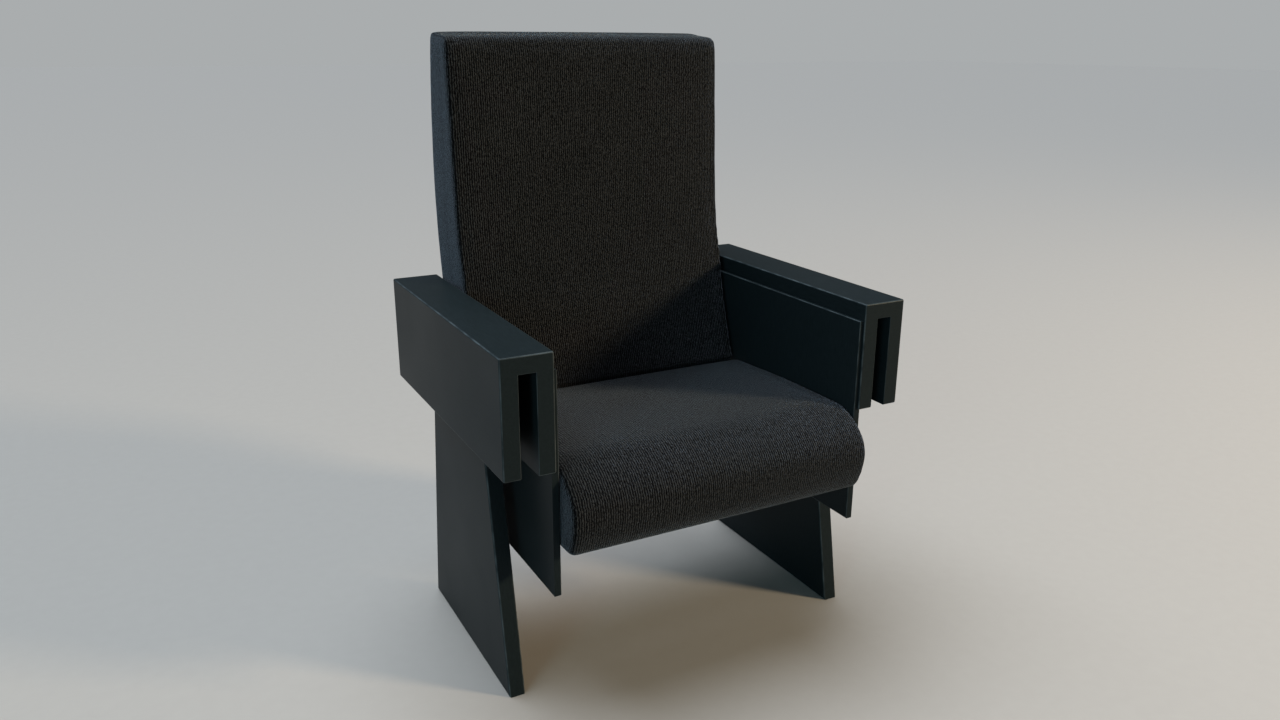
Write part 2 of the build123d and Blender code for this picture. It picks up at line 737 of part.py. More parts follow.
with BuildPart() as cover_screws:
    for x, y in cover_screw_spots:
        with Locations((x, y, seat_bottom_z)):
            Cone(screw_head_radius, screw_radius, screw_head, align=STANDING)
            Cylinder(screw_radius, cover_thickness + frame_wall, align=STANDING)
            Cylinder(screw_radius / 2, screw_head / 2, align=STANDING, mode=Mode.SUBTRACT)
export_piece(cover_screws.part, "cover_screws")

# ================================ seat: cushion =========================================================
seat_rear = arm_front + seat_rear_setback
turned = sin(radians(shoulder_angle))
plate_pocket_depth = hinge_plate_thickness + screw_head + 2 * soft_gap
hub_pocket_radius = spring_radius + spring_wire / 2 + pocket_margin

with BuildPart() as seat_cushion:
    for x, inset in ((-half_seat, seat_crown), (0, 0), (half_seat, seat_crown)):
        top_z = seat_top_z - inset
        shoulder_y = nose_y + inset + shoulder_radius * turned + nose_radius * (1 - turned)
        with BuildSketch(side_plane(x)) as section:
            with BuildLine():
                top = TangentArc((shoulder_y, top_z), (seat_rear, seat_rear_z - inset), tangent=(1, 0))
                shoulder = JernArc((shoulder_y, top_z), (-1, 0), shoulder_radius, shoulder_angle)
                nose = JernArc(shoulder @ 1, shoulder % 1, nose_radius, 90 - shoulder_angle)
                chin = JernArc(nose @ 1, nose % 1, chin_radius, chin_angle)
                drop = (chin @ 1).Y - seat_bottom_z
                foot_y = (chin @ 1).X - drop * (chin % 1).X / (chin % 1).Y
                Polyline(chin @ 1, (foot_y, seat_bottom_z), (seat_rear, seat_bottom_z), top @ 1)
            make_face()
            fillet(section.vertices().sort_by(Axis.Y)[:2], seat_bottom_round)
            fillet(section.vertices().group_by(Axis.X)[-1].sort_by(Axis.Y)[-1], seat_rear_round)
    loft()
    fillet(seat_cushion.faces().filter_by(Axis.X).edges(), seat_side_round)
    with BuildSketch(Plane.XY.offset(seat_bottom_z)):
        with Locations((0, (cover_front + cover_rear) / 2)):
            Rectangle(2 * (cover_half_width + soft_gap), cover_rear - cover_front + 2 * soft_gap)
    extrude(amount=platform_top_z - seat_bottom_z, mode=Mode.SUBTRACT)
    for side in (-1, 1):
        plate_face = side_plane(side * (frame_outer_x - soft_gap))
        extrude(hinge_outline(plate_face, soft_gap), amount=side * plate_pocket_depth, mode=Mode.SUBTRACT)
        with BuildSketch(plate_face):
            with Locations((pivot_y, pivot_z)):
                Circle(hinge_disc_radius + pocket_margin)
        extrude(amount=side * seat_width, mode=Mode.SUBTRACT)
        with BuildSketch(side_plane(side * (pin_inner_x - pocket_margin))):
            with Locations((pivot_y, pivot_z)):
                Circle(hub_pocket_radius)
        extrude(amount=side * (frame_outer_x - pin_inner_x + pocket_margin), mode=Mode.SUBTRACT)
export_piece(seat_cushion.part, "seat_cushion")

# ================================ back: shell, rear panel and cushion ================================
upper_centre = (back_apex_y - back_upper_radius, back_bulge_z)
lower_centre = (back_apex_y - back_lower_radius, back_bulge_z)


def rear_line(inset, z_low, z_high):
    """The back's rear curve, drawn in by inset, as its upper and lower arc from top to bottom."""
    upper_radius = back_upper_radius - inset
    lower_radius = back_lower_radius - inset
    rise = degrees(asin((z_high - back_bulge_z) / upper_radius)) if z_high > back_bulge_z else 0
    fall = degrees(asin((back_bulge_z - z_low) / lower_radius))
    start = degrees(asin((back_bulge_z - z_high) / lower_radius)) if z_high < back_bulge_z else 0
    arcs = [] if start else [CenterArc(upper_centre, upper_radius, rise, -rise, mode=Mode.PRIVATE)]
    arcs.append(CenterArc(lower_centre, lower_radius, -start, start - fall, mode=Mode.PRIVATE))
    return arcs


def rear_band(plane, outer_inset, inner_inset, z_low, z_high):
    """The strip between two lines parallel to the back's rear curve."""
    outer = rear_line(outer_inset, z_low, z_high)
    inner = rear_line(inner_inset, z_low, z_high)
    with BuildSketch(plane) as band:
        with BuildLine():
            add(outer)
            add(inner)
            Line(outer[0] @ 0, inner[0] @ 0)
            Line(outer[-1] @ 1, inner[-1] @ 1)
        make_face()
    return band.sketch


shell_low_z = back_bottom_z + rear_panel_margin
shell_high_z = back_top_z - rear_panel_margin
core_half_width = half_back - core_margin
rear_panel_half_width = half_back - rear_panel_margin
tongue_inner_x = core_half_width - bracket_overlap
tongue_screw_spots = [
    (core_half_width - bracket_overlap / 2 + across, z)
    for across in (-tongue_screw_pitch / 2, tongue_screw_pitch / 2)
    for z in (bracket_low_z + tongue_screw_margin, bracket_high_z - tongue_screw_margin)
]
clip_rows = (shell_low_z + clip_margin, back_bulge_z - clip_pitch, back_bulge_z, shell_high_z - clip_margin)
clip_spots = [
    (x, z)
    for x in (clip_margin - rear_panel_half_width, 0, rear_panel_half_width - clip_margin)
    for z in clip_rows
]


def shell_plane(x, z, inset):
    """A plane on the line drawn in by inset, facing straight out through the back's rear face."""
    radius = back_upper_radius if z > back_bulge_z else back_lower_radius
    reach = sqrt((radius - inset) ** 2 - (z - back_bulge_z) ** 2)
    return Plane((x, back_apex_y - radius + reach, z), z_dir=(0, reach, z - back_bulge_z))


with BuildPart() as back_core:
    core_start = side_plane(-core_half_width)
    band = rear_band(core_start, rear_panel_thickness, shell_inset, shell_low_z, shell_high_z)
    extrude(band, amount=2 * core_half_width)
    for x, z in clip_spots:
        with BuildSketch(shell_plane(x, z, rear_panel_thickness)):
            Circle(clip_radius)
        extrude(amount=-clip_depth, mode=Mode.SUBTRACT)
    for x, z in tongue_screw_spots:
        for side in (-1, 1):
            with BuildSketch(shell_plane(side * x, z, shell_inset + bracket_thickness)):
                Circle(screw_radius)
            extrude(amount=bracket_thickness + tongue_screw_depth, mode=Mode.SUBTRACT)
export_piece(back_core.part, "back_core")

with BuildPart() as back_rear_panel:
    band = rear_band(side_plane(-rear_panel_half_width), 0, rear_panel_thickness, shell_low_z, shell_high_z)
    extrude(band, amount=2 * rear_panel_half_width)
    for x, z in clip_spots:
        with BuildSketch(shell_plane(x, z, rear_panel_thickness).offset(-1)):
            Circle(clip_head_radius)
        extrude(amount=clip_head + 1, mode=Mode.SUBTRACT)
export_piece(back_rear_panel.part, "back_rear_panel")

with BuildPart() as rear_panel_clips:
    for x, z in clip_spots:
        with BuildSketch(shell_plane(x, z, rear_panel_thickness)):
            Circle(clip_radius)
        extrude(amount=-clip_depth)
        with BuildSketch(shell_plane(x, z, rear_panel_thickness)):
            Circle(clip_head_radius)
        extrude(amount=clip_head)
export_piece(rear_panel_clips.part, "rear_panel_clips")

with BuildPart() as back_cushion:
    for x, inset in ((-half_back, back_crown), (0, 0), (half_back, back_crown)):
        with BuildSketch(side_plane(x)) as section:
            with BuildLine():
                rear = rear_line(0, back_bottom_z, back_top_z)
                add(rear)
                top_front = (arm_front + back_top_front_y + inset, back_top_front_z)
                bend = (arm_front + back_bend_y + inset, back_bend_z)
                foot = (arm_front + back_foot_y + inset, back_bottom_z)
                Polyline(rear[0] @ 0, top_front, bend)
                TangentArc(bend, foot, tangent=Vector(*bend) - Vector(*top_front))
                Line(foot, rear[-1] @ 1)
            make_face()
            fillet(section.vertices().sort_by(Axis.Y)[:2].sort_by(Axis.X)[0], back_foot_round)
            fillet(section.vertices().sort_by(Axis.Y)[-2:].sort_by(Axis.X)[0], back_top_round)
    loft()
    fillet(back_cushion.faces().filter_by(Axis.X).edges(), back_side_round)
    shell_pocket = rear_band(core_start, 0, shell_inset, shell_low_z, shell_high_z)
    extrude(shell_pocket, amount=2 * core_half_width, mode=Mode.SUBTRACT)
    panel_start = side_plane(-rear_panel_half_width)
    panel_pocket = rear_band(panel_start, 0, rear_panel_thickness, shell_low_z, shell_high_z)
    extrude(panel_pocket, amount=2 * rear_panel_half_width, mode=Mode.SUBTRACT)
    for side in (-1, 1):
        tongue_slot = rear_band(
            side_plane(side * (tongue_inner_x - soft_gap)),
            shell_inset,
            shell_inset + bracket_thickness + soft_gap,
            bracket_low_z - soft_gap,
            bracket_high_z + soft_gap,
        )
        extrude(tongue_slot, amount=side * back_width, mode=Mode.SUBTRACT)
export_piece(back_cushion.part, "back_cushion")

# ================================ back brackets ======================================================
bracket_face_x = panel_inner_x - bracket_thickness

with BuildPart() as back_bracket:
    with BuildSketch(side_plane(bracket_face_x)) as section:
        with BuildLine():
            rear = rear_line(shell_inset, bracket_low_z, bracket_high_z)
            add(rear)
            Polyline(
                rear[0] @ 0,
                (bracket_front, bracket_high_z),
                (bracket_front, bracket_low_z),
                rear[-1] @ 1,
            )
        make_face()
        fillet(section.vertices().sort_by(Axis.X)[:2], bracket_corner)
    extrude(amount=bracket_thickness)
    tongue = rear_band(
        side_plane(tongue_inner_x),
        shell_inset,
        shell_inset + bracket_thickness,
        bracket_low_z,
        bracket_high_z,
    )
    extrude(tongue, amount=panel_inner_x - tongue_inner_x)
    for x, z in tongue_screw_spots:
        with Locations(shell_plane(x, z, shell_inset + bracket_thickness).location):
            Cone(screw_head_radius, screw_radius, screw_head, align=STANDING, mode=Mode.SUBTRACT)
            Cylinder(screw_radius, 2 * bracket_thickness, align=STANDING, mode=Mode.SUBTRACT)
    for spot in bracket_side_spots:
        with Locations(side_plane(bracket_face_x).location * Pos(*spot)):
            Cone(screw_head_radius, screw_radius, screw_head, align=STANDING, mode=Mode.SUBTRACT)
            Cylinder(screw_radius, 2 * bracket_thickness, align=STANDING, mode=Mode.SUBTRACT)
export_pair(back_bracket.part, "back_bracket")

with BuildPart() as back_bracket_screws:
    for x, z in tongue_screw_spots:
        with Locations(shell_plane(x, z, shell_inset + bracket_thickness).location):
            Cone(screw_head_radius, screw_radius, screw_head, align=STANDING)
            Cylinder(screw_radius, bracket_thickness + tongue_screw_depth, align=STANDING)
            Cylinder(screw_radius / 2, screw_head / 2, align=STANDING, mode=Mode.SUBTRACT)
    for spot in bracket_side_spots:
        with Locations(side_plane(bracket_face_x).location * Pos(*spot)):
            Cone(screw_head_radius, screw_radius, screw_head, align=STANDING)
            Cylinder(screw_radius, bracket_thickness + screw_depth, align=STANDING)
            Cylinder(screw_radius / 2, screw_head / 2, align=STANDING, mode=Mode.SUBTRACT)
    mirror(about=Plane.YZ)
export_piece(back_bracket_screws.part, "back_bracket_screws")

# ================================ tie rail ===========================================================
rail_end_x = panel_inner_x - rail_plate_thickness

with BuildPart() as tie_rail:
    with BuildSketch(side_plane(-rail_end_x)):
        with Locations((rail_mid_y, rail_z)):
            Rectangle(rail_depth, rail_height)
            Rectangle(rail_depth - 2 * rail_wall, rail_height - 2 * rail_wall, mode=Mode.SUBTRACT)
    extrude(amount=2 * rail_end_x)
    for side in (-1, 1):
        with BuildSketch(side_plane(side * rail_end_x)):
            with Locations((rail_mid_y, rail_z)):
                RectangleRounded(rail_plate_length, rail_plate_height, rail_plate_corner)
            with Locations(*rail_screw_spots):
                Circle(screw_radius, mode=Mode.SUBTRACT)
        extrude(amount=side * rail_plate_thickness)
export_piece(tie_rail.part, "tie_rail")

with BuildPart() as tie_rail_bolts:
    for spot in rail_screw_spots:
        with Locations(side_plane(rail_end_x).location * Pos(*spot)):
            Cylinder(screw_head_radius, screw_head, align=HANGING)
            Cylinder(screw_radius, rail_plate_thickness + screw_depth, align=STANDING)
    for spot in rail_screw_spots:
        with Locations(side_plane(rail_end_x - screw_head).location * Pos(*spot)):
            Cylinder(screw_radius, screw_head / 2, align=STANDING, mode=Mode.SUBTRACT)
    mirror(about=Plane.YZ)
export_piece(tie_rail_bolts.part, "tie_rail_bolts")
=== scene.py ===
"""Looks of the tip up auditorium seat: upholstery, board and metal finishes, floor, light and camera.

Metres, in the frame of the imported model: +Z up, the sitter faces -Y, +X to the viewer's right.
"""
import bpy
import json
import math
from mathutils import Matrix, Vector, kdtree


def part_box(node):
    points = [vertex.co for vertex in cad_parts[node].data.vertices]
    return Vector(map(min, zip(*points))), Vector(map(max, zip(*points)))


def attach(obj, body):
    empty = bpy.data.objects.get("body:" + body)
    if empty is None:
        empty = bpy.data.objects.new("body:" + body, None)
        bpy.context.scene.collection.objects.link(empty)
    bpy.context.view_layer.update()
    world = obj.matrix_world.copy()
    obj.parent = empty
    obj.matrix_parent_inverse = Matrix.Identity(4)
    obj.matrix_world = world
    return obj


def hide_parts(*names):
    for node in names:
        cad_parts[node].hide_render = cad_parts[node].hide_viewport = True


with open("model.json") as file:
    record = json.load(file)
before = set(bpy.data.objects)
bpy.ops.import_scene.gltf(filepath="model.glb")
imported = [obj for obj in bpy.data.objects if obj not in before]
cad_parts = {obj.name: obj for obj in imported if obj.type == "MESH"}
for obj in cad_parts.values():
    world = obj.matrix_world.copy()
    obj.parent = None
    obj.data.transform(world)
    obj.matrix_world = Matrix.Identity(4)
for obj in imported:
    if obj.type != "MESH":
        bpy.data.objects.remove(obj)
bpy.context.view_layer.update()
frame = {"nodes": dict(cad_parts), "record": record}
nodes = frame["nodes"]
scene = bpy.context.scene


# ---- node helpers ---------------------------------------------------------------------------------
def new_material(name):
    material = bpy.data.materials.new(name)
    material.use_nodes = True
    material.node_tree.nodes.clear()
    return material


def add_node(material, kind, **settings):
    node = material.node_tree.nodes.new(kind)
    for key, value in settings.items():
        setattr(node, key, value)
    return node


def put(node, **values):
    """Set input sockets by name, with _ for a space."""
    for key, value in values.items():
        node.inputs[key.replace("_", " ")].default_value = value
    return node


def link(material, source, target):
    material.node_tree.links.new(source, target)


def noise(material, vector, scale, detail=2.0, rough=0.5, distortion=0.0):
    node = add_node(material, "ShaderNodeTexNoise")
    put(node, Scale=scale, Detail=detail, Roughness=rough, Distortion=distortion)
    link(material, vector, node.inputs["Vector"])
    return node.outputs["Fac"]


def ramp(material, source, *stops):
    """A colour ramp: stops are (position, grey or rgb)."""
    node = add_node(material, "ShaderNodeValToRGB")
    elements = node.color_ramp.elements
    while len(elements) < len(stops):
        elements.new(0.5)
    for element, (position, colour) in zip(elements, stops):
        rgb = (colour,) * 3 if isinstance(colour, float) else colour
        element.position = position
        element.color = (*rgb, 1.0)
    link(material, source, node.inputs["Fac"])
    return node.outputs["Color"]


def math_node(material, operation, first, second):
    node = add_node(material, "ShaderNodeMath", operation=operation)
    for socket, value in zip(node.inputs, (first, second)):
        if isinstance(value, (int, float)):
            socket.default_value = value
        else:
            link(material, value, socket)
    return node.outputs["Value"]


def scaled(material, vector, x, y, z):
    node = add_node(material, "ShaderNodeVectorMath", operation="MULTIPLY")
    node.inputs[1].default_value = (x, y, z)
    link(material, vector, node.inputs[0])
    return node.outputs["Vector"]


def object_place(material):
    return add_node(material, "ShaderNodeTexCoord").outputs["Object"]


def bump(material, height, strength, distance, below=None):
    node = add_node(material, "ShaderNodeBump")
    put(node, Strength=strength, Distance=distance)
    link(material, height, node.inputs["Height"])
    if below is not None:
        link(material, below, node.inputs["Normal"])
    return node.outputs["Normal"]


def shader(material, normal=None, colour=None, roughness=None, **values):
    node = put(add_node(material, "ShaderNodeBsdfPrincipled"), **values)
    output = add_node(material, "ShaderNodeOutputMaterial")
    link(material, node.outputs["BSDF"], output.inputs["Surface"])
    for source, name in ((normal, "Normal"), (colour, "Base Color"), (roughness, "Roughness")):
        if source is not None:
            link(material, source, node.inputs[name])
    return material


# ---- materials --------------------------------------------------------------------------------------
def fabric_material():
    """Coarse crinkled weave: short irregular ribs along the run of the cloth, darker in their grooves, which
    is painted shade.
    """
    m = new_material("charcoal_fabric")
    place = add_node(m, "ShaderNodeAttribute", attribute_name="weave").outputs["Vector"]
    columns = add_node(m, "ShaderNodeTexWave", wave_type="BANDS", bands_direction="X", wave_profile="SIN")
    put(columns, Scale=78.0, Distortion=3.2, Detail=2.0, Detail_Scale=2.6, Detail_Roughness=0.6)
    link(m, scaled(m, place, 1, 0.55, 1), columns.inputs["Vector"])
    breaks = noise(m, scaled(m, place, 560, 230, 1), 1.0, 2.0, 0.6, 0.6)
    threads = noise(m, scaled(m, place, 1300, 1000, 1), 1.0, 2.0, 0.6)
    ribs = math_node(m, "MULTIPLY", columns.outputs["Fac"], 0.22)
    slubs = math_node(m, "MULTIPLY", breaks, 0.62)
    fibres = math_node(m, "MULTIPLY", threads, 0.16)
    height = math_node(m, "ADD", math_node(m, "ADD", ribs, slubs), fibres)
    # yarn tone on the crests and middles, darkened almost to black in the grooves: painted shade in the
    # weave's recesses
    groove_shade, middle, crest = (0.0006, 0.0006, 0.0006), (0.0050, 0.0049, 0.0050), (0.029, 0.029, 0.0295)
    yarn_and_groove_shade = ramp(m, height, (0.39, groove_shade), (0.50, middle), (0.62, crest))
    shade = ramp(m, noise(m, place, 7.0, 3.0), (0.3, 0.88), (0.7, 1.08))
    # a colour mix has its two colours at inputs 6 and 7 and its result at output 2
    mix = add_node(m, "ShaderNodeMix", data_type="RGBA", blend_type="MULTIPLY")
    mix.inputs["Factor"].default_value = 1.0
    link(m, yarn_and_groove_shade, mix.inputs[6])
    link(m, shade, mix.inputs[7])
    normal = bump(m, height, 1.0, 0.0030)
    return shader(m, normal, mix.outputs[2], Roughness=0.95, Sheen_Weight=0.20, Sheen_Roughness=0.30,
                  Sheen_Tint=(0.72, 0.84, 1.0, 1.0), Specular_IOR_Level=0.04)


def board_material(name, along):
    """Dark satin lacquer, a very fine grain along one axis, paler in patches on the rounded edges, which is
    a painted highlight.
    """
    m = new_material(name)
    stretch = [420.0, 420.0, 420.0]
    stretch[along] = 60.0
    place = object_place(m)
    grain = noise(m, scaled(m, place, *stretch), 1.0, 3.0, 0.6)
    pores = noise(m, place, 1500.0, 1.0)
    clouds = noise(m, place, 5.0, 2.0)
    colour = ramp(m, grain, (0.3, (0.0065, 0.0095, 0.0105)), (0.7, (0.0095, 0.0135, 0.0150)))
    satin = ramp(m, clouds, (0.3, 0.33), (0.7, 0.39))
    normal = bump(m, pores, 0.10, 0.0002, bump(m, grain, 0.08, 0.0003))
    facing = add_node(m, "ShaderNodeVectorMath", operation="ABSOLUTE")
    link(m, add_node(m, "ShaderNodeNewGeometry").outputs["Normal"], facing.inputs[0])
    parts = add_node(m, "ShaderNodeSeparateXYZ")
    link(m, facing.outputs["Vector"], parts.inputs["Vector"])
    larger = math_node(m, "MAXIMUM", parts.outputs["Y"], parts.outputs["Z"])
    squarest = math_node(m, "MAXIMUM", parts.outputs["X"], larger)
    # rounded edges, where the normal leaves the axes, are made paler in patches: a painted highlight along
    # the fillets
    edge = ramp(m, math_node(m, "SUBTRACT", 1.0, squarest), (0.02, 0.0), (0.16, 1.0))
    patches = ramp(m, noise(m, place, 35.0, 3.0), (0.35, 0.25), (0.65, 1.0))
    edge_highlight = math_node(m, "MULTIPLY", edge, patches)
    highlit_board = add_node(m, "ShaderNodeMix", data_type="RGBA")
    link(m, edge_highlight, highlit_board.inputs["Factor"])
    link(m, colour, highlit_board.inputs[6])
    highlit_board.inputs[7].default_value = (0.058, 0.068, 0.072, 1.0)
    return shader(m, normal, highlit_board.outputs[2], satin, Specular_IOR_Level=0.05)


def metal_material(name, colour, roughness, metallic=1.0):
    m = new_material(name)
    place = object_place(m)
    scratches = noise(m, scaled(m, place, 900, 120, 900), 1.0, 2.0)
    tone = ramp(m, noise(m, place, 60.0, 2.0), (0.3, tuple(c * 0.85 for c in colour)), (0.7, colour))
    rough = ramp(m, scratches, (0.3, roughness * 0.85), (0.7, min(1.0, roughness * 1.15)))
    return shader(m, bump(m, scratches, 0.05, 0.0002), tone, rough, Metallic=metallic)


def timber_material(name, light, dark, scale):
    m = new_material(name)
    place = object_place(m)
    rings = noise(m, scaled(m, place, scale * 0.12, scale, scale), 1.0, 4.0, 0.6, 1.2)
    return shader(m, bump(m, rings, 0.1, 0.0003), ramp(m, rings, (0.35, dark), (0.65, light)), Roughness=0.7)


def plain_material(name, colour, roughness):
    m = new_material(name)
    place = object_place(m)
    specks = noise(m, place, 700.0, 2.0)
    tone = ramp(m, specks, (0.3, tuple(c * 0.8 for c in colour)), (0.7, colour))
    return shader(m, bump(m, specks, 0.12, 0.0003), tone, Roughness=roughness)


fabric = fabric_material()
board_deep = board_material("lacquered_board_lengthwise", 1)
board_up = board_material("lacquered_board_upright", 2)
finishes = {
    "lacquered_board": board_up,
    "black_board": plain_material("black_stained_board", (0.022, 0.022, 0.024), 0.7),
    "hardwood": timber_material("beech", (0.55, 0.38, 0.22), (0.44, 0.29, 0.16), 160),
    "plywood": timber_material("birch_plywood", (0.62, 0.47, 0.30), (0.50, 0.36, 0.21), 110),
    "fabric": fabric,
    "coated_steel": metal_material("powder_coated_steel", (0.028, 0.028, 0.031), 0.55, 0.0),
    "bright_steel": metal_material("zinc_plated_steel", (0.55, 0.55, 0.56), 0.35),
    "spring_steel": metal_material("oiled_spring_steel", (0.24, 0.24, 0.25), 0.3),
    "rubber": plain_material("black_rubber", (0.018, 0.018, 0.018), 0.8),
    "bearing_plastic": plain_material("off_white_plastic", (0.70, 0.69, 0.65), 0.45),
}
slot_of = {part["node"]: part["material_slot"] for part in frame["record"]["subparts"]}
for name, node in nodes.items():
    finish = board_deep if "_arm_" in name else finishes[slot_of[name]]
    node.data.materials.clear()
    node.data.materials.append(finish)


# ---- sizes of the cushions, as the photo shows them; y is measured from the armrests' fronts ---------
seat_rear_y = 0.372
seat_rear_z = 0.427
rim_drop = 0.009             # the cover hangs a little below the board that closes the seat
shoulder_radius = 0.105
shoulder_angle = 52
nose_radius = 0.052
chin_radius = 0.115
chin_angle = 24
seat_rim_round = 0.012
seat_rear_round = 0.014
seat_end_round = 0.008
seat_crown = 0.001           # how far the ends draw in
bulge_z = 0.794              # height of the back's rearmost line
upper_radius = 1.420         # the back's rear curve above it
lower_radius = 0.950         # and below it
top_front_y, top_front_z = 0.470, 1.052
bend_y, bend_z = 0.4565, 0.800
foot_y = 0.3675
back_foot_rear_round = 0.004
back_top_rear_round = 0.005
back_top_front_round = 0.020
back_foot_front_round = 0.022
back_end_round = 0.009
back_crown = 0.002

outline_step = 0.006         # between points of a side view, and the grid of the cover
ring_spacing = 0.010         # between side views across the pad
cloth_frames = 20
rim_hold = 0.006             # the seat's cover is fixed up to here above its rim
rear_hold = 0.012            # the back's cover is fixed this near the rear face
seat_meets = 0.030           # ahead of its rear, where the seat's cover starts to swell freely
seat_blend = 0.10            # over which it does
back_meets_z = 0.450         # the same for the back's cover
back_blend = 0.12
weave_step = 0.0005          # along the run of the cloth
side_swell = 0.0012          # of the cover beside a panel
least_swell = 0.001          # where seat and back meet
free_swell = 0.004           # more than that, away from there
sleeve_reach = 0.02          # of a room beyond the piece that it is cut from
disc_room_radius = 0.0445
disc_room_depth = 0.006      # inwards of the hinge plate's outer face
hub_room_radius = 0.0235
hub_room_end = 0.0025        # beyond the pin's end
core_room_inset = 0.0203     # of the shell's front face from the back's rear face
panel_room_inset = 0.008     # of the rear panel's front face


# ---- cushions --------------------------------------------------------------------------------------
def arc(centre, radius, start, end, steps):
    """Points on an arc, in degrees."""
    points = []
    for step in range(steps + 1):
        angle = math.radians(start + (end - start) * step / steps)
        points.append(Vector((centre[0] + radius * math.cos(angle), centre[1] + radius * math.sin(angle))))
    return points


def rounded(corners, radii, steps=8):
    """A closed outline with each corner rounded; a radius of 0 keeps the corner as a plain point."""
    outline = []
    count = len(corners)
    for index, (corner, radius) in enumerate(zip(corners, radii)):
        corner = Vector(corner)
        if not radius:
            outline.append(corner)
            continue
        before = (Vector(corners[index - 1]) - corner).normalized()
        after = (Vector(corners[(index + 1) % count]) - corner).normalized()
        half = before.angle(after) / 2
        reach = radius / math.tan(half)
        centre = corner + (before + after).normalized() * radius / math.sin(half)
        first = corner + before * reach - centre
        last = corner + after * reach - centre
        turn = first.angle_signed(last)
        for step in range(steps + 1):
            outline.append(centre + Matrix.Rotation(-turn * step / steps, 2) @ first)
    return outline


def evenly(outline, spacing):
    """The closed outline as points at one spacing."""
    runs = [(b - a).length for a, b in zip(outline, outline[1:] + outline[:1])]
    total = sum(runs)
    count = round(total / spacing)
    points = []
    index, walked = 0, 0.0
    for step in range(count):
        target = total * step / count
        while walked + runs[index] < target:
            walked += runs[index]
            index += 1
        share = (target - walked) / runs[index]
        points.append(outline[index].lerp(outline[(index + 1) % len(outline)], share))
    return points


def drawn_in(outline, amounts):
    """The outline moved inwards, point by point."""
    count = len(outline)
    moved = []
    for index, amount in enumerate(amounts):
        along = (outline[(index + 1) % count] - outline[index - 1]).normalized()
        moved.append(outline[index] + Vector((-along.y, along.x)) * amount)
    return moved


def mesh_piece(name, vertices, faces):
    mesh = bpy.data.meshes.new(name)
    mesh.from_pydata(vertices, [], faces)
    mesh.update()
    piece = bpy.data.objects.new(name, mesh)
    scene.collection.objects.link(piece)
    return piece


def carried_across(name, rings):
    """A closed mesh through rings of (x, outline), all with as many points."""
    count = len(rings[0][1])
    vertices = [(x, p.x, p.y) for x, ring in rings for p in ring]
    faces = []
    for row in range(len(rings) - 1):
        for index in range(count):
            a = row * count + index
            b = row * count + (index + 1) % count
            faces.append((a, b, b + count, a + count))
    faces.append(tuple(reversed(range(count))))
    faces.append(tuple(range((len(rings) - 1) * count, len(rings) * count)))
    return mesh_piece(name, vertices, faces)


def pad_form(name, outline, half, edge_radius, crown, held):
    """The outline carried across X, ends rounded over and drawn in by crown, except where it is held."""
    rings = []
    steps = 6
    side = 4
    free = [0.0 if held(p) else 1.0 for p in outline]
    for index, window in enumerate([free[i - side : i + side + 1] for i in range(len(free))]):
        if side <= index < len(free) - side:
            free[index] = sum(window) / (2 * side + 1)
    inner = half - edge_radius
    across = round(2 * inner / ring_spacing)
    stations = []
    for step in range(steps + 1):
        angle = math.pi / 2 * step / steps
        stations.append((-half + edge_radius * (1 - math.cos(angle)), edge_radius * (1 - math.sin(angle))))
    stations += [(-inner + 2 * inner * step / across, 0.0) for step in range(1, across)]
    stations += [(-x, inset) for x, inset in reversed(stations[: steps + 1])]
    for x, inset in stations:
        sag = crown * (x / half) ** 2
        rings.append((x, drawn_in(outline, [inset + sag * share for share in free])))
    return carried_across(name, rings)


def evaluated(piece):
    """The piece's mesh with its modifiers applied, which are then gone."""
    graph = bpy.context.evaluated_depsgraph_get()
    mesh = bpy.data.meshes.new_from_object(piece.evaluated_get(graph))
    piece.modifiers.clear()
    piece.data = mesh
    return piece


def swollen(piece, held, room):
    """Let the cover swell as cloth over its filling, held where it is fixed, within the room it has."""
    remesh = piece.modifiers.new("even", "REMESH")
    remesh.mode = "VOXEL"
    remesh.voxel_size = outline_step
    evaluated(piece)
    relax = piece.modifiers.new("relax", "SMOOTH")
    relax.factor = 0.5
    relax.iterations = 2
    evaluated(piece)
    start = [(v.co.copy(), v.normal.copy()) for v in piece.data.vertices]
    fixed = piece.vertex_groups.new(name="held")
    fixed.add([v.index for v in piece.data.vertices if held(v.co.yz)], 1.0, "REPLACE")
    cloth = piece.modifiers.new("cover", "CLOTH")
    cloth.settings.quality = 5
    cloth.settings.tension_stiffness = 15
    cloth.settings.compression_stiffness = 15
    cloth.settings.bending_stiffness = 5
    cloth.settings.use_pressure = True
    cloth.settings.uniform_pressure_force = 4.0
    cloth.settings.effector_weights.gravity = 0
    cloth.settings.vertex_group_mass = "held"
    for number in range(1, cloth_frames + 1):
        scene.frame_set(number)
    graph = bpy.context.evaluated_depsgraph_get()
    after = [v.co.copy() for v in piece.evaluated_get(graph).data.vertices]
    piece.modifiers.clear()
    scene.frame_set(1)
    for vertex, (first, outward), last in zip(piece.data.vertices, start, after):
        swell = max((last - first).dot(outward), 0.0)
        limit = room(first, outward)
        vertex.co = first + outward * swell * limit / (swell + limit)
    calm = piece.modifiers.new("calm", "SMOOTH")
    calm.factor = 0.5
    calm.iterations = 2
    finer = piece.modifiers.new("finer", "SUBSURF")
    finer.levels = 1
    return evaluated(piece)


def hollowed(piece, cutters):
    """Take the room for boards and hinges out of the pad."""
    for cutter in cutters:
        cut = piece.modifiers.new("room", "BOOLEAN")
        cut.operation = "DIFFERENCE"
        cut.solver = "EXACT"
        cut.object = cutter
        evaluated(piece)
        bpy.data.objects.remove(cutter)
    return piece


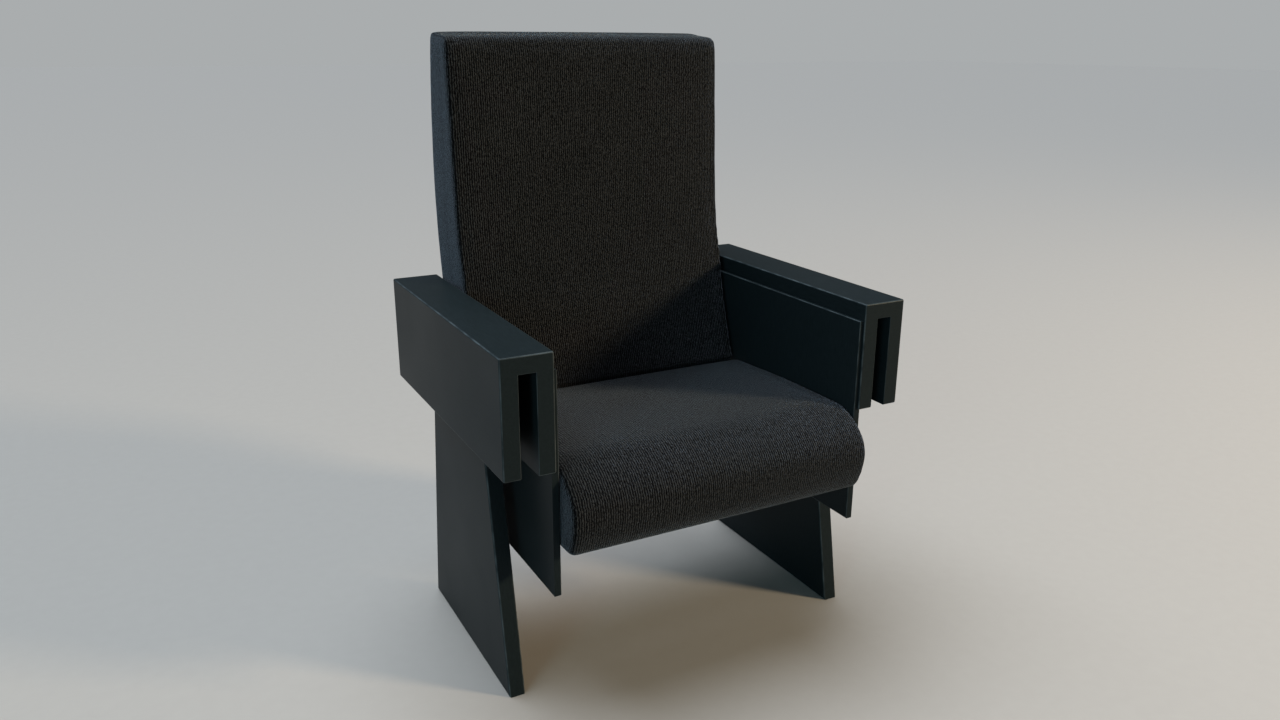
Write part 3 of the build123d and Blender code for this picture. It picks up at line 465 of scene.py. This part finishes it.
def block(name, low, high):
    corners = ((low[1], low[2]), (high[1], low[2]), (high[1], high[2]), (low[1], high[2]))
    outline = [Vector(corner) for corner in corners]
    return carried_across(name, [(low[0], outline), (high[0], outline)])


def drum(name, x_from, x_to, centre, radius):
    outline = arc(centre, radius, 0, 360 - 360 / 64, 63)
    return carried_across(name, [(min(x_from, x_to), outline), (max(x_from, x_to), outline)])


def lay_weave(piece, outline, shift):
    """Store where each corner of each face lies in the cloth: across, along its run, 0 or 1 for an end.

    The run starts anew shift metres before the outline's end, which keeps the seam away from the front.
    """
    fine = evenly(outline, weave_step)
    length = weave_step * len(fine)
    finder = kdtree.KDTree(len(fine))
    for index, point in enumerate(fine):
        finder.insert((point.x, point.y, 0), index)
    finder.balance()
    runs = []
    for vertex in piece.data.vertices:
        index = finder.find((vertex.co.y, vertex.co.z, 0))[1]
        runs.append((index * weave_step + shift) % length)
    weave = piece.data.attributes.new("weave", "FLOAT_VECTOR", "CORNER")
    for face in piece.data.polygons:
        end = abs(face.normal.x) > 0.8
        for corner in face.loop_indices:
            vertex = piece.data.vertices[piece.data.loops[corner].vertex_index]
            if end:
                weave.data[corner].vector = (vertex.co.y, vertex.co.z, 1.0)
            else:
                weave.data[corner].vector = (vertex.co.x, runs[vertex.index], 0.0)


arm_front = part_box("left_arm_top_board")[0].y
seat_low, seat_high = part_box("seat_cushion")
back_low, back_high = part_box("back_cushion")
cover_low, cover_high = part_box("seat_under_cover")
platform_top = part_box("seat_platform")[1].z
core_low, core_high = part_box("back_core")
panel_low, panel_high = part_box("back_rear_panel")
plate_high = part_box("right_hinge_plate")[1]
pin_low, pin_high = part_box("right_pivot_pin")
pivot = ((pin_low.y + pin_high.y) / 2, (pin_low.z + pin_high.z) / 2)
seat_rear = arm_front + seat_rear_y
rim_low = seat_low.z - rim_drop


def seat_outline():
    """Side view of the seat: waterfall nose, gently falling top, flat underside."""
    nose = seat_low.y
    top = seat_high.z
    bottom = rim_low
    turned = math.sin(math.radians(shoulder_angle))
    shoulder = nose + shoulder_radius * turned + nose_radius * (1 - turned)
    lower = Vector((shoulder, top - shoulder_radius))
    fall = top - seat_rear_z
    run = seat_rear - shoulder
    big = (run * run + fall * fall) / (2 * fall)
    reach = math.degrees(math.asin(run / big))
    points = arc((shoulder, top - big), big, 90 - reach, 90, 12)
    points += arc(lower, shoulder_radius, 90, 90 + shoulder_angle, 12)[1:]
    bend = points[-1]
    small = bend + (lower - bend).normalized() * nose_radius
    points += arc(small, nose_radius, 90 + shoulder_angle, 180, 8)[1:]
    chin = points[-1] + Vector((chin_radius, 0))
    points += arc(chin, chin_radius, 180, 180 + chin_angle, 6)[1:]
    low = points[-1]
    foot = low.x + (low.y - bottom) * math.tan(math.radians(chin_angle))
    radii = [seat_rear_round] + [0] * (len(points) - 1) + [seat_rim_round, seat_rim_round]
    return rounded(points + [Vector((foot, bottom)), Vector((seat_rear, bottom))], radii)


def rear_curve(low, high, inset):
    """The back's rear line from z low to z high, drawn in by inset."""
    apex = back_high.y
    upper = math.degrees(math.asin((high - bulge_z) / (upper_radius - inset)))
    lower = math.degrees(math.asin((bulge_z - low) / (lower_radius - inset)))
    line = arc((apex - lower_radius, bulge_z), lower_radius - inset, -lower, 0, 40)
    return line + arc((apex - upper_radius, bulge_z), upper_radius - inset, 0, upper, 28)[1:]


def back_outline():
    """Side view of the back: straight upper front, lumbar curve, bulging rear."""
    rear = rear_curve(back_low.z, back_high.z, 0)
    top_front = Vector((arm_front + top_front_y, top_front_z))
    bend = Vector((arm_front + bend_y, bend_z))
    foot = Vector((arm_front + foot_y, back_low.z))
    heading = (bend - top_front).normalized()
    chord = foot - bend
    normal = Vector((heading.y, -heading.x))
    radius = chord.length_squared / (2 * chord.dot(normal))
    centre = bend + normal * radius
    start = math.degrees(math.atan2(*reversed(bend - centre)))
    end = math.degrees(math.atan2(*reversed(foot - centre)))
    front = arc(centre, abs(radius), start, end, 20)
    corners = rear + [top_front] + front
    radii = [back_foot_rear_round] + [0] * (len(rear) - 2) + [back_top_rear_round, back_top_front_round]
    radii += [0] * (len(front) - 1) + [back_foot_front_round]
    return rounded(corners, radii)


def rear_band(name, low, high, inset):
    """The room behind a line drawn in from the back's rear face, as wide and high as a board there."""
    outside = rear_curve(low.z, high.z, -sleeve_reach)
    inside = rear_curve(low.z, high.z, inset)
    outline = outside + inside[::-1]
    return carried_across(name, [(low.x, outline), (high.x, outline)])


def seat_held(point):
    return point[1] < rim_low + rim_hold


def seat_room(point, outward):
    """How far the seat's cover may swell: least beside the panels and next to the back."""
    if abs(outward.x) > 0.5:
        return side_swell
    return least_swell + free_swell * min(max((seat_rear - seat_meets - point.y) / seat_blend, 0.0), 1.0)


def back_room(point, outward):
    """How far the back's cover may swell: least beside the panels and next to the seat."""
    if abs(outward.x) > 0.5:
        return side_swell
    return least_swell + free_swell * min(max((point.z - back_meets_z) / back_blend, 0.0), 1.0)


rear_points = rear_curve(back_low.z, back_high.z, 0)
rear_finder = kdtree.KDTree(len(rear_points))
for index, point in enumerate(rear_points):
    rear_finder.insert((point.x, point.y, 0), index)
rear_finder.balance()


def back_held(point):
    return rear_finder.find((point[0], point[1], 0))[2] < rear_hold


seat_side = evenly(seat_outline(), outline_step)
seat_pad = pad_form("seat_upholstery", seat_side, seat_high.x, seat_end_round, seat_crown, seat_held)
swollen(seat_pad, seat_held, seat_room)
frame_room_low = (cover_low.x, cover_low.y, cover_low.z - sleeve_reach)
rooms = [block("frame_room", frame_room_low, (cover_high.x, cover_high.y, platform_top))]
for side in (-1, 1):
    disc_inside = side * (plate_high.x - disc_room_depth)
    disc_outside = side * (seat_high.x + sleeve_reach)
    hub_inside = side * (pin_low.x - hub_room_end)
    rooms.append(drum("disc_room", disc_inside, disc_outside, pivot, disc_room_radius))
    rooms.append(drum("hub_room", hub_inside, side * plate_high.x, pivot, hub_room_radius))
hollowed(seat_pad, rooms)
lay_weave(seat_pad, seat_outline(), 0.25)

back_side = evenly(back_outline(), outline_step)
back_pad = pad_form("back_upholstery", back_side, back_high.x, back_end_round, back_crown, back_held)
swollen(back_pad, back_held, back_room)
core_room = rear_band("core_room", core_low, core_high, core_room_inset)
panel_room = rear_band("panel_room", panel_low, panel_high, panel_room_inset)
hollowed(back_pad, [core_room, panel_room])
lay_weave(back_pad, back_outline(), 1.0)

for pad, node, body in ((seat_pad, "seat_cushion", "seat"), (back_pad, "back_cushion", "root")):
    pad.data.materials.clear()
    pad.data.materials.append(fabric)
    for face in pad.data.polygons:
        face.use_smooth = True
        face.material_index = 0
    pad.data.set_sharp_from_angle(angle=math.radians(50))
    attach(pad, body)
    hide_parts(node)


# ---- floor, light and camera -----------------------------------------------------------------------
def floor_material():
    m = new_material("pale_floor")
    mottle = noise(m, object_place(m), 40.0, 3.0)
    tone = ramp(m, mottle, (0.3, (0.276, 0.248, 0.225)), (0.7, (0.282, 0.254, 0.230)))
    return shader(m, None, tone, Roughness=0.9, Specular_IOR_Level=0.1)


far = 40
floor_corners = [(-far, -far, 0), (far, -far, 0), (far, far, 0), (-far, far, 0)]
floor = mesh_piece("studio_floor", floor_corners, [(0, 1, 2, 3)])
floor.data.materials.append(floor_material())


def softbox(name, direction, distance, size, power, colour):
    """An area light that looks at the seat from one direction."""
    target = Vector((0, 0, 0.6))
    light = bpy.data.lights.new(name, "AREA")
    light.shape = "RECTANGLE"
    light.size, light.size_y = size
    light.energy = power
    light.color = colour
    lamp = bpy.data.objects.new(name, light)
    lamp.location = target + Vector(direction).normalized() * distance
    lamp.rotation_euler = Vector(direction).to_track_quat("Z", "Y").to_euler()
    scene.collection.objects.link(lamp)


softbox("front_right", (1, -0.89, 0.42), 7.0, (1.0, 1.0), 550, (1.0, 0.84, 0.58))
softbox("left", (-1, -0.75, 0.30), 7.0, (2.0, 2.0), 130, (0.45, 0.86, 1.0))
daylight = bpy.data.lights.new("overhead", "SUN")
daylight.energy = 5.7
daylight.angle = 1.0
daylight.color = (0.77, 0.89, 1.0)
overhead = bpy.data.objects.new("overhead", daylight)
overhead.rotation_euler = Vector((-0.10, 0.32, 1)).to_track_quat("Z", "Y").to_euler()
scene.collection.objects.link(overhead)

world = bpy.data.worlds.new("studio")
scene.world = world
world.use_nodes = True
tree = world.node_tree
lit = tree.nodes["Background"]
lit.inputs["Color"].default_value = (0.86, 0.93, 1.0, 1.0)
lit.inputs["Strength"].default_value = 0.10
seen = tree.nodes.new("ShaderNodeBackground")
seen.inputs["Color"].default_value = (0.401, 0.418, 0.424, 1.0)  # as the floor looks at the horizon
path = tree.nodes.new("ShaderNodeLightPath")
either = tree.nodes.new("ShaderNodeMixShader")
tree.links.new(path.outputs["Is Camera Ray"], either.inputs["Fac"])
tree.links.new(lit.outputs["Background"], either.inputs[1])
tree.links.new(seen.outputs["Background"], either.inputs[2])
tree.links.new(either.outputs["Shader"], tree.nodes["World Output"].inputs["Surface"])
scene.view_settings.view_transform = "Standard"
scene.view_settings.look = "None"

# the photograph's camera, worked out from points on the object's edges
photo_width = 1280           # pixels
focal_length = 1000.56       # pixels
sensor_width = 36.0          # millimetres
camera_place = Vector((-0.82526, -1.25946 + arm_front, 1.04835))
yaw, pitch, roll = (math.radians(a) for a in (-28.299, 17.814, 0.296))
behind = Vector((math.sin(yaw) * math.cos(pitch), -math.cos(yaw) * math.cos(pitch), math.sin(pitch)))
level = Vector((-behind.y, behind.x, 0)).normalized()
upright = behind.cross(level)
across = level * math.cos(roll) + upright * math.sin(roll)
axes = Matrix((across, behind.cross(across), behind)).transposed().to_4x4()
camera_data = bpy.data.cameras.new("camera")
camera_data.sensor_width = sensor_width
camera_data.lens = focal_length * sensor_width / photo_width
camera = bpy.data.objects.new("camera", camera_data)
scene.collection.objects.link(camera)
camera.matrix_world = Matrix.Translation(camera_place) @ axes
scene.camera = camera
